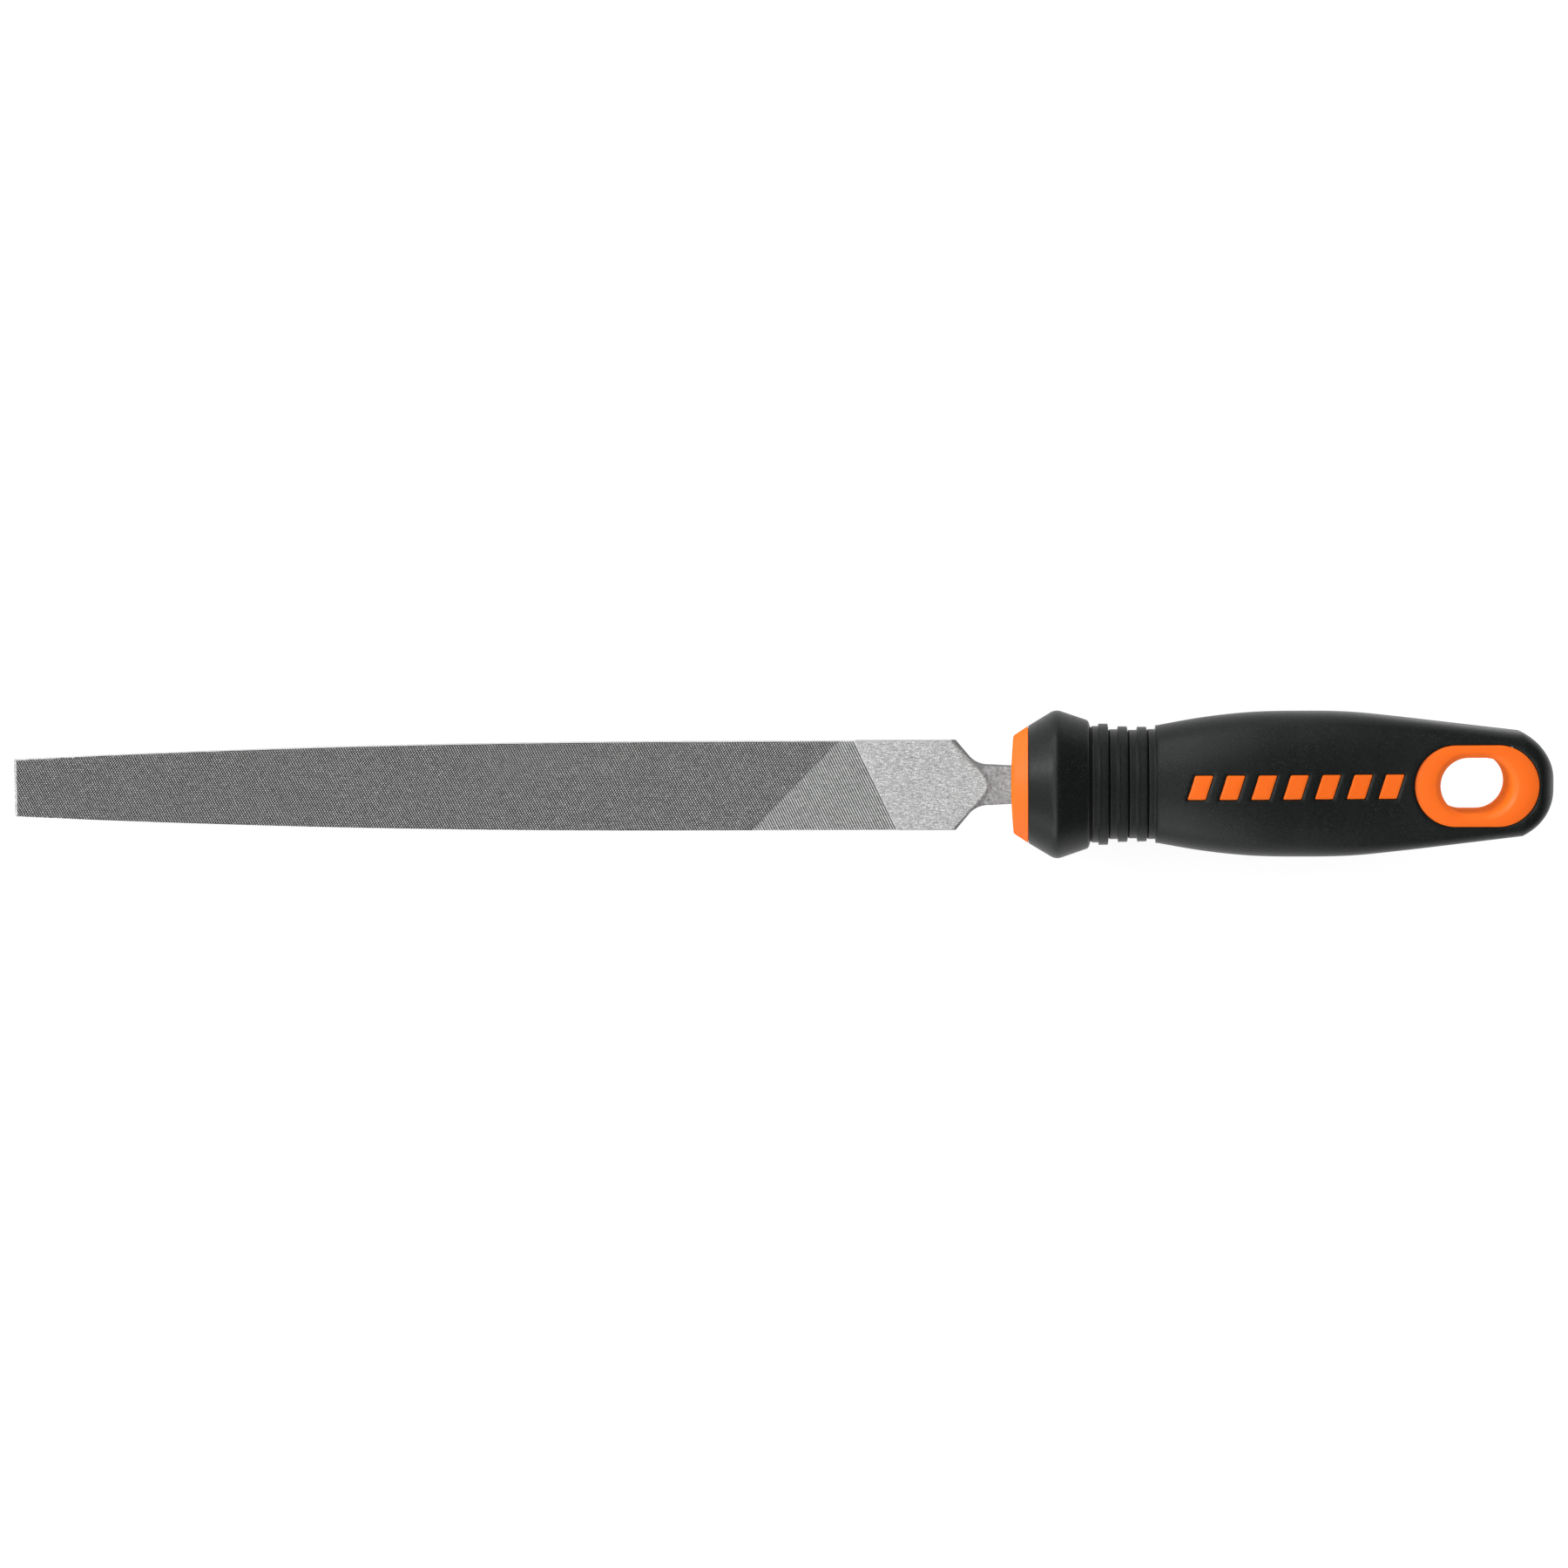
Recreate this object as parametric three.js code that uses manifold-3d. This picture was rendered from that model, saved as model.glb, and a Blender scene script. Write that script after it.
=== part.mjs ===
// A flat file: a one-piece steel blade and tang, held in a two-shot moulded handle.
//
// Millimetres. +X runs along the tool from the tip to the handle's tail, Y is the width and +Z the thickness.
// The origin is the centre of the whole tool's box. The tool has three physical pieces:
//   file_blade   the steel forging, blade and tang in one
//   handle_core  the hard orange first shot: front cone, tang socket, hanging eye and raised marks
//   grip_sleeve  the soft black second shot moulded over the core

import * as THREE from "three";
import { mergeVertices } from "three/addons/utils/BufferGeometryUtils.js";
import Module from "manifold-3d";

// Overall lengths along X
const BLADE_LENGTH = 203.2; // tip to shoulder corners: an 8 inch file
const NECK_LENGTH = 11.8; // shoulder corners to the handle's front face
const HANDLE_LENGTH = 114.1; // front face to tail
const OVERALL_LENGTH = BLADE_LENGTH + NECK_LENGTH + HANDLE_LENGTH;

// Blade and tang
const BLADE_WIDTH = 19.1;
const BLADE_THICKNESS = 4.8;
const TIP_WIDTH = 12.4;
const TIP_THICKNESS = 3.2;
const TAPER_LENGTH = 144; // width and thickness both curve in over this length of the tip end
const SHOULDER_RUN = 3.1; // the straight chamfer behind each shoulder corner, along X
const SHOULDER_DROP = 3.7; // and across Y
const SHOULDER_CURVE_PULL = 1.4; // how far on the curve behind the chamfer keeps heading before it turns
const TANG_ROOT = 7.5; // where the shoulders' curve has run out into the tang, from the corners
const TANG_ROOT_WIDTH = 8.5;
const TANG_ROOT_THICKNESS = 4.2;
const TANG_LENGTH = 57.5; // from the shoulder corners to the hidden end
const TANG_END_WIDTH = 3.2;
const TANG_END_THICKNESS = 2.4;
const HEEL_FLAT_END = 6.2; // the ground flat of the heel runs this far past the shoulder corners

// Handle, measured along the axis from its front face
const FACE_RADIUS = 10.4;
const FACE_DOME = 0.5; // height of the front face's slight dome
const SEAM = 3.6; // where the orange cone ends and the black collar starts
const SEAM_RADIUS = 12.45;
const CREST = 9.45; // the collar's widest place
const CREST_RADIUS = 16.05; // to the sharp corner that the crest's rounding takes off
const CREST_ROUNDING = 1.3;
const COLLAR_END = 16.4;
const COLLAR_END_RADIUS = 13.6;
const RIB_START = 18.65;
const RIB_PITCH = 4.08;
const RIB_WIDTH = 1.85;
const RIB_RADII = [12.9, 12.3, 12.2];
const GROOVE_RADII = [12.4, 11.7, 11.55, 11.7];
const EDGE_EASE = 0.35; // length of the small slopes at the sides of the ribs and grooves
const WAIST_FLATNESS = 0.93; // thickness over width behind the ribs; the front face is round
const TAIL_ARC_START = 107.3;
const TAIL_ROUNDING = 4.6; // length over which the tail's thickness rounds off
const TAIL_ROUNDING_POWER = 2.5;

// Sections of the grip's belly: along, half width, half thickness, squareness (2 is an oval)
const BELLY_SECTIONS = [
  [30.7, 12.5, 11.6, 2.0],
  [40.6, 14.2, 12.0, 2.1],
  [50.8, 15.25, 11.9, 2.3],
  [61.1, 15.45, 11.3, 2.6],
  [71.3, 15.2, 10.6, 3.2],
  [81.5, 14.15, 10.1, 4.0],
  [91.2, 12.95, 10.0, 4.6],
  [107.3, 11.0, 10.0, 4.6],
];
const BELLY_STEPS = 24; // stations along the belly

// Core inside the grip
const OVERMOULD = 3.0; // thickness of the soft sleeve over the core
const SOCKET_CLEARANCE = 0.3; // around the tang
const PIECE_GAP = 0.3; // between the two shots
const CORE_NECK_RADIUS = 9.2;
const ANCHOR_START = 6.2; // the anchor ring that locks the sleeve inside the collar
const ANCHOR_END = 12.4;
const ANCHOR_RADIUS = 12.4;
const ROD_END = 90; // the rod ends inside the eye
const NECK_OVERLAP = 1; // the neck starts this far inside the front cone

// Hanging eye: a racetrack-shaped boss that shows on both faces, with a chamfered hole through it
const EYE_CENTRE = 97.35;
const EYE_LENGTH = 25.9;
const EYE_WIDTH = 17.1;
const EYE_HALF_THICKNESS = 9.6;
const HOLE_LENGTH = 15.0;
const HOLE_WIDTH = 11.8;
const HOLE_CHAMFER = 1.1;
const HOLE_CHAMFER_DEPTH = 0.8;

// Raised marks: a plain row of slanted bars that rise from the core through windows in the grip
const BAR_COUNT = 7;
const BAR_FIRST = 39.65; // centre of the first bar
const BAR_PITCH = 6.65;
const BAR_WIDTH = 3.8;
const BAR_HEIGHT = 5.1;
const BAR_LEAN = 0.32; // sideways shift for each millimetre of height
const BAR_SUNK = 0.15; // below the surface of the grip

// Facet counts
const ROUND_SEGMENTS = 40;
const CURVE_STEPS = 8;

const wasm = await Module();
wasm.setup();

// A closed solid from a three.js geometry, with shared vertices merged and empty triangles dropped.
function toSolid(geometry) {
  geometry.deleteAttribute("normal");
  geometry.deleteAttribute("uv");
  const merged = mergeVertices(geometry);
  const triVerts = [];
  const index = merged.index.array;
  for (let i = 0; i < index.length; i += 3) {
    const [a, b, c] = index.slice(i, i + 3);
    if (a !== b && b !== c && c !== a) {
      triVerts.push(a, b, c);
    }
  }
  return new wasm.Manifold(
    new wasm.Mesh({
      numProp: 3,
      vertProperties: merged.attributes.position.array,
      triVerts: Uint32Array.from(triVerts),
    }),
  );
}

// A named mesh from a finished solid.
function toMesh(name, solid, material) {
  const { vertProperties, triVerts } = solid.getMesh();
  const geometry = new THREE.BufferGeometry();
  geometry.setAttribute("position", new THREE.BufferAttribute(vertProperties, 3));
  geometry.setIndex(new THREE.BufferAttribute(triVerts, 1));
  geometry.computeVertexNormals();
  const mesh = new THREE.Mesh(geometry, material);
  mesh.name = name;
  return mesh;
}

// A flat shape in XY as a plate between two heights.
function plate(shape, bottom, top) {
  const geometry = new THREE.ExtrudeGeometry(shape, {
    depth: top - bottom,
    bevelEnabled: false,
    curveSegments: CURVE_STEPS,
  });
  geometry.translate(0, 0, bottom);
  return toSolid(geometry);
}

// ---- Blade and tang: x is measured from the shoulder corners, with the tip at -BLADE_LENGTH ----

// Half of the outline seen from above, from the tip to the end of the tang, grown outwards by grow.
function bladeOutline(grow = 0) {
  const halfBlade = BLADE_WIDTH / 2;
  const path = new THREE.Path();
  path.moveTo(-BLADE_LENGTH, TIP_WIDTH / 2 + grow);
  path.quadraticCurveTo(
    -BLADE_LENGTH + TAPER_LENGTH / 2,
    halfBlade + grow,
    -BLADE_LENGTH + TAPER_LENGTH,
    halfBlade + grow,
  );
  path.lineTo(0, halfBlade + grow);
  path.lineTo(SHOULDER_RUN, halfBlade - SHOULDER_DROP + grow);
  const rootHalf = TANG_ROOT_WIDTH / 2 + grow;
  path.quadraticCurveTo(SHOULDER_RUN + SHOULDER_CURVE_PULL, rootHalf, TANG_ROOT, rootHalf);
  path.lineTo(TANG_LENGTH + grow, TANG_END_WIDTH / 2 + grow);
  return path.getPoints(CURVE_STEPS);
}

// Half of the outline seen from the side.
function bladeSideOutline(grow = 0) {
  const halfBlade = BLADE_THICKNESS / 2 + grow;
  const path = new THREE.Path();
  path.moveTo(-BLADE_LENGTH, TIP_THICKNESS / 2 + grow);
  path.quadraticCurveTo(
    -BLADE_LENGTH + TAPER_LENGTH / 2,
    halfBlade,
    -BLADE_LENGTH + TAPER_LENGTH,
    halfBlade,
  );
  path.lineTo(HEEL_FLAT_END, halfBlade);
  path.lineTo(TANG_ROOT, TANG_ROOT_THICKNESS / 2 + grow);
  path.lineTo(TANG_LENGTH + grow, TANG_END_THICKNESS / 2 + grow);
  return path.getPoints(CURVE_STEPS);
}

// A half outline mirrored about the x axis into a closed shape.
function mirrored(points) {
  const other = points.map((point) => new THREE.Vector2(point.x, -point.y)).reverse();
  return new THREE.Shape([...points, ...other]);
}

function bladeSolid(grow = 0) {
  const reach = BLADE_WIDTH;
  const plan = plate(mirrored(bladeOutline(grow)), -reach, reach);
  const side = new THREE.ExtrudeGeometry(mirrored(bladeSideOutline(grow)), {
    depth: 2 * reach,
    bevelEnabled: false,
  });
  side.translate(0, 0, -reach);
  side.rotateX(Math.PI / 2);
  return plan.intersect(toSolid(side));
}

// ---- Handle: x is measured from its front face ----

const sectionPlaces = BELLY_SECTIONS.map((section) => section[0]);
const bellySections = new THREE.CubicInterpolant(
  sectionPlaces,
  BELLY_SECTIONS.flatMap((section) => section.slice(1)),
  3,
);

// The outline of the black part from above, from the seam to the tail: half width against x.
function gripProfile() {
  const path = new THREE.Path();
  const slope = new THREE.Vector2(CREST - SEAM, CREST_RADIUS - SEAM_RADIUS).normalize();
  const fall = new THREE.Vector2(COLLAR_END - CREST, COLLAR_END_RADIUS - CREST_RADIUS).normalize();
  path.moveTo(SEAM, 0);
  path.lineTo(SEAM, SEAM_RADIUS);
  path.lineTo(CREST - slope.x * CREST_ROUNDING, CREST_RADIUS - slope.y * CREST_ROUNDING);
  path.quadraticCurveTo(
    CREST,
    CREST_RADIUS,
    CREST + fall.x * CREST_ROUNDING,
    CREST_RADIUS + fall.y * CREST_ROUNDING,
  );
  path.lineTo(COLLAR_END, COLLAR_END_RADIUS);
  path.lineTo(COLLAR_END + 2 * EDGE_EASE, GROOVE_RADII[0]);
  RIB_RADII.forEach((radius, i) => {
    const start = RIB_START + i * RIB_PITCH;
    path.lineTo(start - EDGE_EASE, GROOVE_RADII[i]);
    path.lineTo(start, radius);
    path.lineTo(start + RIB_WIDTH, radius);
    path.lineTo(start + RIB_WIDTH + EDGE_EASE, GROOVE_RADII[i + 1]);
  });
  path.lineTo(sectionPlaces[0] - EDGE_EASE, GROOVE_RADII.at(-1));
  const belly = path.getPoints(CURVE_STEPS / 2);
  for (let i = 0; i < BELLY_STEPS; i += 1) {
    const x = sectionPlaces[0] + ((TAIL_ARC_START - sectionPlaces[0]) * i) / BELLY_STEPS;
    belly.push(new THREE.Vector2(x, bellySections.evaluate(x)[0]));
  }
  return belly.concat(tailArc());
}

// The round end of the handle: an arc centred on the axis, from the belly's last section to the tail.
function tailArc() {
  const run = HANDLE_LENGTH - TAIL_ARC_START;
  const halfWidth = BELLY_SECTIONS.at(-1)[1];
  const radius = (run * run + halfWidth * halfWidth) / (2 * run);
  const centre = HANDLE_LENGTH - radius;
  const arc = new THREE.Path();
  arc.absarc(centre, 0, radius, Math.asin(halfWidth / radius), 0, true);
  const points = arc.getPoints(CURVE_STEPS);
  points.at(-1).y = 0;
  return points;
}

// Half thickness of the handle where its half width is given: nearly round in front, flat at the eye.
function halfThickness(x, halfWidth) {
  const start = sectionPlaces[0];
  if (x < start) {
    return halfWidth * THREE.MathUtils.lerp(1, WAIST_FLATNESS, THREE.MathUtils.smoothstep(x, 0, start));
  }
  if (x <= TAIL_ARC_START) return bellySections.evaluate(x)[1];
  const depth = Math.max(0, (x - (HANDLE_LENGTH - TAIL_ROUNDING)) / TAIL_ROUNDING);
  const round = (1 - depth ** TAIL_ROUNDING_POWER) ** (1 / TAIL_ROUNDING_POWER);
  return BELLY_SECTIONS.at(-1)[2] * round;
}

function squareness(x) {
  return bellySections.evaluate(THREE.MathUtils.clamp(x, sectionPlaces[0], TAIL_ARC_START))[2];
}

// A closed body around the axis. Each profile point is (x, half width); thin is taken off width and thickness.
function lofted(profile, thin = 0) {
  const points = profile.map((point) => new THREE.Vector2(Math.max(0, point.y - thin), point.x));
  const geometry = new THREE.LatheGeometry(points, ROUND_SEGMENTS);
  const position = geometry.attributes.position;
  for (let i = 0; i < position.count; i += 1) {
    const x = position.getY(i);
    const angle = Math.atan2(position.getX(i), position.getZ(i));
    const radius = Math.hypot(position.getX(i), position.getZ(i));
    const power = 2 / squareness(x);
    const across = Math.cos(angle);
    const up = Math.sin(angle);
    const height = radius > 0 ? halfThickness(x, radius + thin) - thin : 0;
    position.setXYZ(
      i,
      x,
      radius * Math.sign(across) * Math.abs(across) ** power,
      height * Math.sign(up) * Math.abs(up) ** power,
    );
  }
  return toSolid(geometry);
}

// A round-ended slot shape, centred on the eye.
function racetrack(length, width) {
  const shape = new THREE.Shape();
  const reach = (length - width) / 2;
  shape.absarc(EYE_CENTRE + reach, 0, width / 2, -Math.PI / 2, Math.PI / 2);
  shape.absarc(EYE_CENTRE - reach, 0, width / 2, Math.PI / 2, (3 * Math.PI) / 2);
  return shape;
}

function eyeHole() {
  const bore = racetrack(HOLE_LENGTH, HOLE_WIDTH);
  const reach = 2 * EYE_HALF_THICKNESS;
  let hole = plate(bore, -reach, reach);
  const chamfer = new THREE.ExtrudeGeometry(bore, {
    depth: reach,
    bevelThickness: HOLE_CHAMFER_DEPTH,
    bevelSize: HOLE_CHAMFER,
    bevelSegments: 1,
    curveSegments: CURVE_STEPS,
  });
  chamfer.translate(0, 0, EYE_HALF_THICKNESS);
  const top = toSolid(chamfer);
  hole = hole.add(top);
  return hole.add(top.rotate([180, 0, 0]));
}

// The row of slanted bars as tall posts, grown outwards by grow in plan.
function markPosts(grow = 0) {
  const halfHeight = BAR_HEIGHT / 2 + grow;
  const halfWidth = BAR_WIDTH / 2 + grow;
  let posts = null;
  for (let i = 0; i < BAR_COUNT; i += 1) {
    const centre = BAR_FIRST + i * BAR_PITCH;
    const lean = BAR_LEAN * halfHeight;
    const post = plate(
      new THREE.Shape([
        new THREE.Vector2(centre - halfWidth - lean, -halfHeight),
        new THREE.Vector2(centre + halfWidth - lean, -halfHeight),
        new THREE.Vector2(centre + halfWidth + lean, halfHeight),
        new THREE.Vector2(centre - halfWidth + lean, halfHeight),
      ]),
      EYE_HALF_THICKNESS / 2,
      CREST_RADIUS,
    );
    posts = posts ? posts.add(post) : post;
  }
  return posts;
}

// The part of the core that the sleeve wraps: neck, anchor ring and rod, grown outwards by grow.
function coreRod(grow = 0) {
  const under = (x, radius) => new THREE.Vector2(x, radius + OVERMOULD);
  const profile = [
    new THREE.Vector2(SEAM - NECK_OVERLAP, 0),
    under(SEAM - NECK_OVERLAP, CORE_NECK_RADIUS),
    under(ANCHOR_START - grow, CORE_NECK_RADIUS),
    under(ANCHOR_START - grow, ANCHOR_RADIUS),
    under(ANCHOR_END + grow, ANCHOR_RADIUS),
    under(ANCHOR_END + grow, CORE_NECK_RADIUS),
    under(sectionPlaces[0], CORE_NECK_RADIUS),
  ];
  for (let i = 1; i <= CURVE_STEPS; i += 1) {
    const x = sectionPlaces[0] + ((ROD_END - sectionPlaces[0]) * i) / CURVE_STEPS;
    profile.push(new THREE.Vector2(x, bellySections.evaluate(x)[0]));
  }
  profile.push(new THREE.Vector2(ROD_END, 0));
  return lofted(profile, OVERMOULD - grow);
}

function coreSolid() {
  const coneProfile = new THREE.Path();
  coneProfile.moveTo(0, 0);
  coneProfile.quadraticCurveTo(0, FACE_RADIUS / 2, FACE_DOME, FACE_RADIUS);
  coneProfile.lineTo(SEAM, SEAM_RADIUS);
  coneProfile.lineTo(SEAM, 0);
  const cone = lofted(coneProfile.getPoints(CURVE_STEPS / 2));
  const boss = plate(racetrack(EYE_LENGTH, EYE_WIDTH), -EYE_HALF_THICKNESS, EYE_HALF_THICKNESS);
  const marks = markPosts().intersect(lofted(gripProfile(), BAR_SUNK));
  const socket = bladeSolid(SOCKET_CLEARANCE).translate([-NECK_LENGTH, 0, 0]);
  return cone.add(coreRod()).add(boss).add(marks).subtract(eyeHole()).subtract(socket);
}

function sleeveSolid() {
  const reach = 2 * EYE_HALF_THICKNESS;
  const bossWindow = plate(
    racetrack(EYE_LENGTH + 2 * PIECE_GAP, EYE_WIDTH + 2 * PIECE_GAP),
    -reach,
    reach,
  );
  const seamGap = new THREE.BoxGeometry(2 * PIECE_GAP, 4 * CREST_RADIUS, 4 * CREST_RADIUS);
  seamGap.translate(SEAM, 0, 0);
  return lofted(gripProfile())
    .subtract(toSolid(seamGap))
    .subtract(coreRod(PIECE_GAP))
    .subtract(bossWindow)
    .subtract(markPosts(PIECE_GAP));
}

// ---- Materials ----

const brushedSteel = new THREE.MeshStandardMaterial({ color: 0x8d8f90, roughness: 0.42, metalness: 1.0 });
const orangePlastic = new THREE.MeshStandardMaterial({ color: 0xf46e26, roughness: 0.38, metalness: 0.0 });
const blackRubber = new THREE.MeshStandardMaterial({ color: 0x1c1e1d, roughness: 0.62, metalness: 0.0 });

// ---- Assembly ----

const handle = new THREE.Group();
handle.add(toMesh("handle_core", coreSolid(), orangePlastic));
handle.add(toMesh("grip_sleeve", sleeveSolid(), blackRubber));
handle.position.x = OVERALL_LENGTH / 2 - HANDLE_LENGTH;

const blade = toMesh("file_blade", bladeSolid(), brushedSteel);
blade.position.x = BLADE_LENGTH - OVERALL_LENGTH / 2;

const flatFile = new THREE.Group();
flatFile.add(blade, handle);

export default flatFile;
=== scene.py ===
# A flat file: steel blade with real cut teeth, two-colour moulded handle, on a pale floor.
#
# Shapes are worked out in millimetres in the CAD's own frame (+X from the tip to the tail, +Z out of the
# marked face) and turned into metres when a mesh is made. The CAD's boxes give the lengths that everything
# hangs on.

import math

import bmesh
import bpy
import numpy as np
from mathutils import Matrix, Vector, noise


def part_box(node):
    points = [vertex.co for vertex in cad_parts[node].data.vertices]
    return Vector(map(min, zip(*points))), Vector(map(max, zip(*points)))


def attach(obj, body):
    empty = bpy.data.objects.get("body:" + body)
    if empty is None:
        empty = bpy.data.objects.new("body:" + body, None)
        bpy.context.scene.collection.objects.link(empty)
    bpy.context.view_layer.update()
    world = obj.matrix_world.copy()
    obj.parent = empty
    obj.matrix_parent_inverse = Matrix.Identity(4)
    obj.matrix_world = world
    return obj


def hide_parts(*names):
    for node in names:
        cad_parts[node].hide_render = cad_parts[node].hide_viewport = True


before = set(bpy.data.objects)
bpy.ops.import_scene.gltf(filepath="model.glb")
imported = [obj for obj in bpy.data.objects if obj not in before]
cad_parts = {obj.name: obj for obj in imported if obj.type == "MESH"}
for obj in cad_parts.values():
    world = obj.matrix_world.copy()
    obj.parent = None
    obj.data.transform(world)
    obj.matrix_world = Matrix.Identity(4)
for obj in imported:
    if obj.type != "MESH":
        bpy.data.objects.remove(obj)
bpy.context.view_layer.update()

MM = 0.001
BODY = "root"


def box_mm(node):
    """The lowest and the highest corner of a CAD piece."""
    low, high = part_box(node)
    return np.array(low) / MM, np.array(high) / MM


BLADE_LOW, BLADE_HIGH = box_mm("file_blade")
SLEEVE_HIGH = box_mm("grip_sleeve")[1]

# ---- Places along the tool ----

TIP = BLADE_LOW[0]
TANG_END = BLADE_HIGH[0]
FACE = box_mm("handle_core")[0][0]  # the handle's front
TAIL = SLEEVE_HIGH[0]
SHOULDER = FACE - 11.8
HANDLE_LENGTH = TAIL - FACE

# ---- Blade ----

HALF_WIDTH = BLADE_HIGH[1]
HALF_THICKNESS = BLADE_HIGH[2]
TIP_HALF_WIDTH = 6.2
TIP_HALF_THICKNESS = 1.6
TAPER_LENGTH = 144.0
SHOULDER_RUN = 3.1
SHOULDER_DROP = 3.7
TANG_ROOT = 7.5
TANG_ROOT_HALF_WIDTH = 4.25
TANG_ROOT_HALF_THICKNESS = 2.1
TANG_END_HALF_WIDTH = 1.6
TANG_END_HALF_THICKNESS = 1.2
HEEL_FLAT_END = 6.75  # the ground flat ends this far past the shoulders, in a rounded vee
VEE_SLOPE = 0.98
VEE_RADIUS = 2.0
BEVEL_PLUS = 0.75  # the shoulders' bevels, on the +Y and the -Y side
BEVEL_MINUS = 0.5
BEVEL_SLOPE = 1.1
VEE_BEVEL = 0.9  # the slope from the ground flat down to the forged tang takes this length
SIDE_ROUNDING = (3.0, 6.0)  # the tang's sides round off between these places past the shoulders
SIDE_SQUARENESS = 6  # of the rounded tang's section; 2 would be an oval
# Bumps of the forged surface: how many to a millimetre, their height, and their layer of the noise
BROAD_BUMPS = (0.8, 0.05, 3.0)
FINE_BUMPS = (2.5, 0.03, 8.0)
BEVEL_UNEVENNESS = 0.12
FORGED_START = 3.0  # the bumps grow to their full height over this length past the shoulders

UPCUT_ANGLE = math.radians(64.4)
UPCUT_PITCH = 0.505
UPCUT_HEEL = (17.45, HALF_WIDTH)  # where the upcut's last line leaves the edge
OVERCUT_ANGLE = math.radians(45.5)
OVERCUT_PITCH = 0.41
OVERCUT_HEEL = (14.0, HALF_WIDTH)
TOOTH_DEPTH = 0.17
TOOTH_LEAN = 0.10
LINE_UNEVENNESS = 0.03  # of the pitch
DEPTH_UNEVENNESS = 0.03  # of the depth
CREST_UNEVENNESS = 0.012
PEAK_UNEVENNESS = 0.015
TIP_STRIP = 0.55  # smooth ground strip at the square end
EDGE_STEP = 0.26  # from a crest to a groove of the edge teeth
EDGE_DEPTH = 0.14
EDGE_SHARE = 0.65  # the edges' grooves get less of the painted groove shade than the faces'
HEEL_LINE = 28.0  # the tooth field's sheet ends here and the shoulders' grid begins
RAIL_SHARE = 0.86  # height of the edge teeth's ends, as a share of the half thickness
SEED = 7
MERGE = 0.004  # points of the blade closer than this are one
SHARP_ANGLE = 25  # edges that turn more than this, in degrees, are drawn crisp
# The heel's and the tang's grid, and the points across the square end
HEEL_COLUMNS = 36
TANG_COLUMNS = 46
HIDDEN_COLUMNS = 12
ROWS = 65
TIP_POINTS = 25
ROUND_END = 1e6  # a place round the outline that is past every other one
CUT, BARE = range(2)


def blade_half_width(x):
    """Half width of the blade and tang at x, before any tooth is cut."""
    x = np.asarray(x, float)
    inward = np.clip((TIP + TAPER_LENGTH - x) / TAPER_LENGTH, 0, None)
    blade = HALF_WIDTH - (HALF_WIDTH - TIP_HALF_WIDTH) * inward**2
    past = x - SHOULDER
    chamfer = HALF_WIDTH - SHOULDER_DROP * past / SHOULDER_RUN
    t = np.clip((past - SHOULDER_RUN) / (TANG_ROOT - SHOULDER_RUN), 0, 1)
    chamfer_end = HALF_WIDTH - SHOULDER_DROP
    curve = TANG_ROOT_HALF_WIDTH + (chamfer_end - TANG_ROOT_HALF_WIDTH) * (1 - t) ** 2.6
    s = np.clip((past - TANG_ROOT) / (TANG_END - SHOULDER - TANG_ROOT), 0, 1)
    tang = TANG_ROOT_HALF_WIDTH + (TANG_END_HALF_WIDTH - TANG_ROOT_HALF_WIDTH) * s
    width = np.where(past > 0, chamfer, blade)
    width = np.where(past > SHOULDER_RUN, curve, width)
    return np.where(past > TANG_ROOT, tang, width)


def blade_half_thickness(x):
    inward = np.clip((TIP + TAPER_LENGTH - np.asarray(x, float)) / TAPER_LENGTH, 0, None)
    return HALF_THICKNESS - (HALF_THICKNESS - TIP_HALF_THICKNESS) * inward**2


def tang_half_thickness(x):
    """Half thickness of the tang at x, before it is roughened and its sides are rounded."""
    along = min(max((x - SHOULDER - TANG_ROOT) / (TANG_END - SHOULDER - TANG_ROOT), 0.0), 1.0)
    return TANG_ROOT_HALF_THICKNESS + (TANG_END_HALF_THICKNESS - TANG_ROOT_HALF_THICKNESS) * along


def flat_end(y):
    """How far past the shoulders the heel's ground flat runs: a vee with a rounded point."""
    return HEEL_FLAT_END - VEE_SLOPE * (np.hypot(y, VEE_RADIUS) - VEE_RADIUS)


def bumps(x, y, kind):
    scale, _, layer = kind
    return noise.noise(Vector((scale * x, scale * y, layer)))


def shoulder_height(x, y):
    """Height of the heel's and tang's surface: ground flat, bevelled shoulders, rounded forged tang."""
    width = float(blade_half_width(x))
    past = x - SHOULDER
    tang = tang_half_thickness(x)
    share = min(max((flat_end(y) + VEE_BEVEL - past) / VEE_BEVEL, 0.0), 1.0)
    broad, fine = bumps(x, y, BROAD_BUMPS), bumps(x, y, FINE_BUMPS)
    rough = (BROAD_BUMPS[1] * broad + FINE_BUMPS[1] * fine) * min(1.0, max(0.0, past / FORGED_START))
    forged = tang + (HALF_THICKNESS - tang) * share + rough * (1 - share)
    start, end = SIDE_ROUNDING
    turn_down = min(max((past - start) / (end - start), 0.0), 1.0)
    edge = min(abs(y) / width, 1.0)
    forged *= 1 - 0.5 * turn_down * (1 - (1 - edge**SIDE_SQUARENESS) ** (1 / SIDE_SQUARENESS))
    height = min(HALF_THICKNESS, forged)
    slant = math.hypot(SHOULDER_RUN, SHOULDER_DROP)
    if past < 0:
        inside = ((HALF_WIDTH - abs(y)) * SHOULDER_RUN - past * SHOULDER_DROP) / slant
    else:
        inside = (width - abs(y)) * SHOULDER_RUN / slant
    bevel = (BEVEL_PLUS if y > 0 else BEVEL_MINUS) + BEVEL_UNEVENNESS * fine
    return min(height, HALF_THICKNESS - BEVEL_SLOPE * max(0.0, bevel - inside))


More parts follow.
